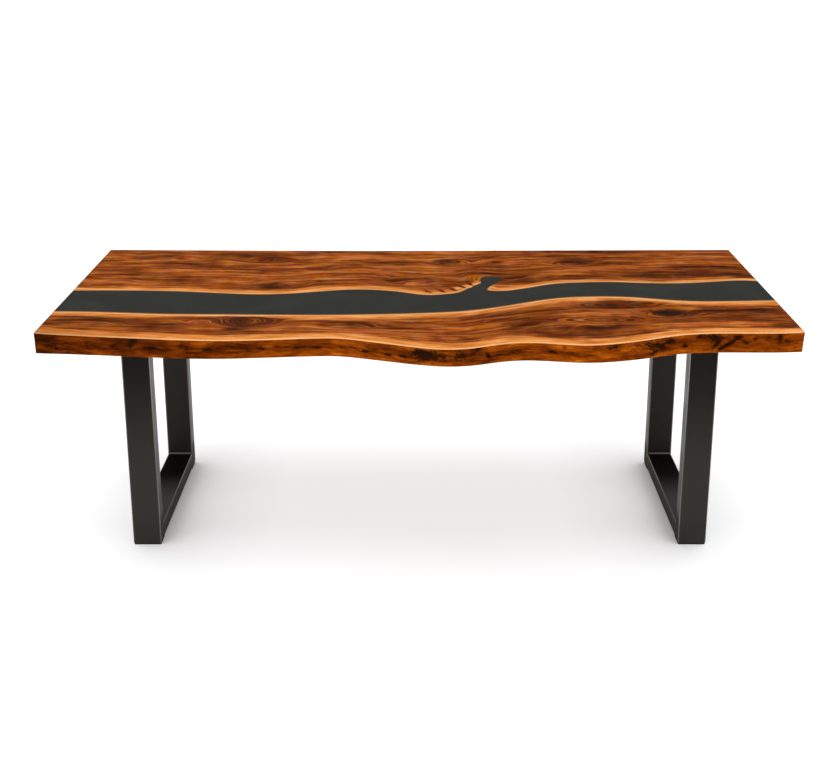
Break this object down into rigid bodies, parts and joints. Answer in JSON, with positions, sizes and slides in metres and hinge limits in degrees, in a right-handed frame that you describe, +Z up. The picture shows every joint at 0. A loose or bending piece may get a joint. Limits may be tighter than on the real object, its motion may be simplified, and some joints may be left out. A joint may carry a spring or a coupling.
{
  "type": "dining table",
  "caption": "Live-edge dining table: two walnut slabs joined by a dark poured resin river, on two U-shaped rectangular-tube steel leg frames with rubber foot pads.",
  "frame": {"origin": "on the floor, under the middle of the table's overall outline", "axes": "+X along the table to the viewer's right, -Y towards the wavy live edge that faces the viewer, +Z up"},
  "size_m": [2.28, 1.129, 0.76],
  "materials": {
    "walnut": "oiled and lacquered, satin sheen",
    "charcoal_resin": "polished to a satin gloss, opaque",
    "coated_steel": "dark bronze-black powder coat, satin",
    "zinc_steel": "zinc plated",
    "insert_brass": "turned",
    "pad_rubber": "moulded, matt"
  },
  "bodies": {
    "root": {"front_slab": "walnut", "rear_slab": "walnut", "resin_river": "charcoal_resin", "left_front_upright": "coated_steel", "left_rear_upright": "coated_steel", "left_floor_rail": "coated_steel", "left_mounting_plate": "coated_steel", "left_front_foot_pad": "pad_rubber", "left_rear_foot_pad": "pad_rubber", "left_leg_bolts": "zinc_steel", "left_leg_washers": "zinc_steel", "left_leg_inserts": "insert_brass", "left_stiffener_channel": "coated_steel", "left_stiffener_screws": "zinc_steel", "left_stiffener_inserts": "insert_brass", "right_front_upright": "coated_steel", "right_rear_upright": "coated_steel", "right_floor_rail": "coated_steel", "right_mounting_plate": "coated_steel", "right_front_foot_pad": "pad_rubber", "right_rear_foot_pad": "pad_rubber", "right_leg_bolts": "zinc_steel", "right_leg_washers": "zinc_steel", "right_leg_inserts": "insert_brass", "right_stiffener_channel": "coated_steel", "right_stiffener_screws": "zinc_steel", "right_stiffener_inserts": "insert_brass"}
  },
  "joints": []
}
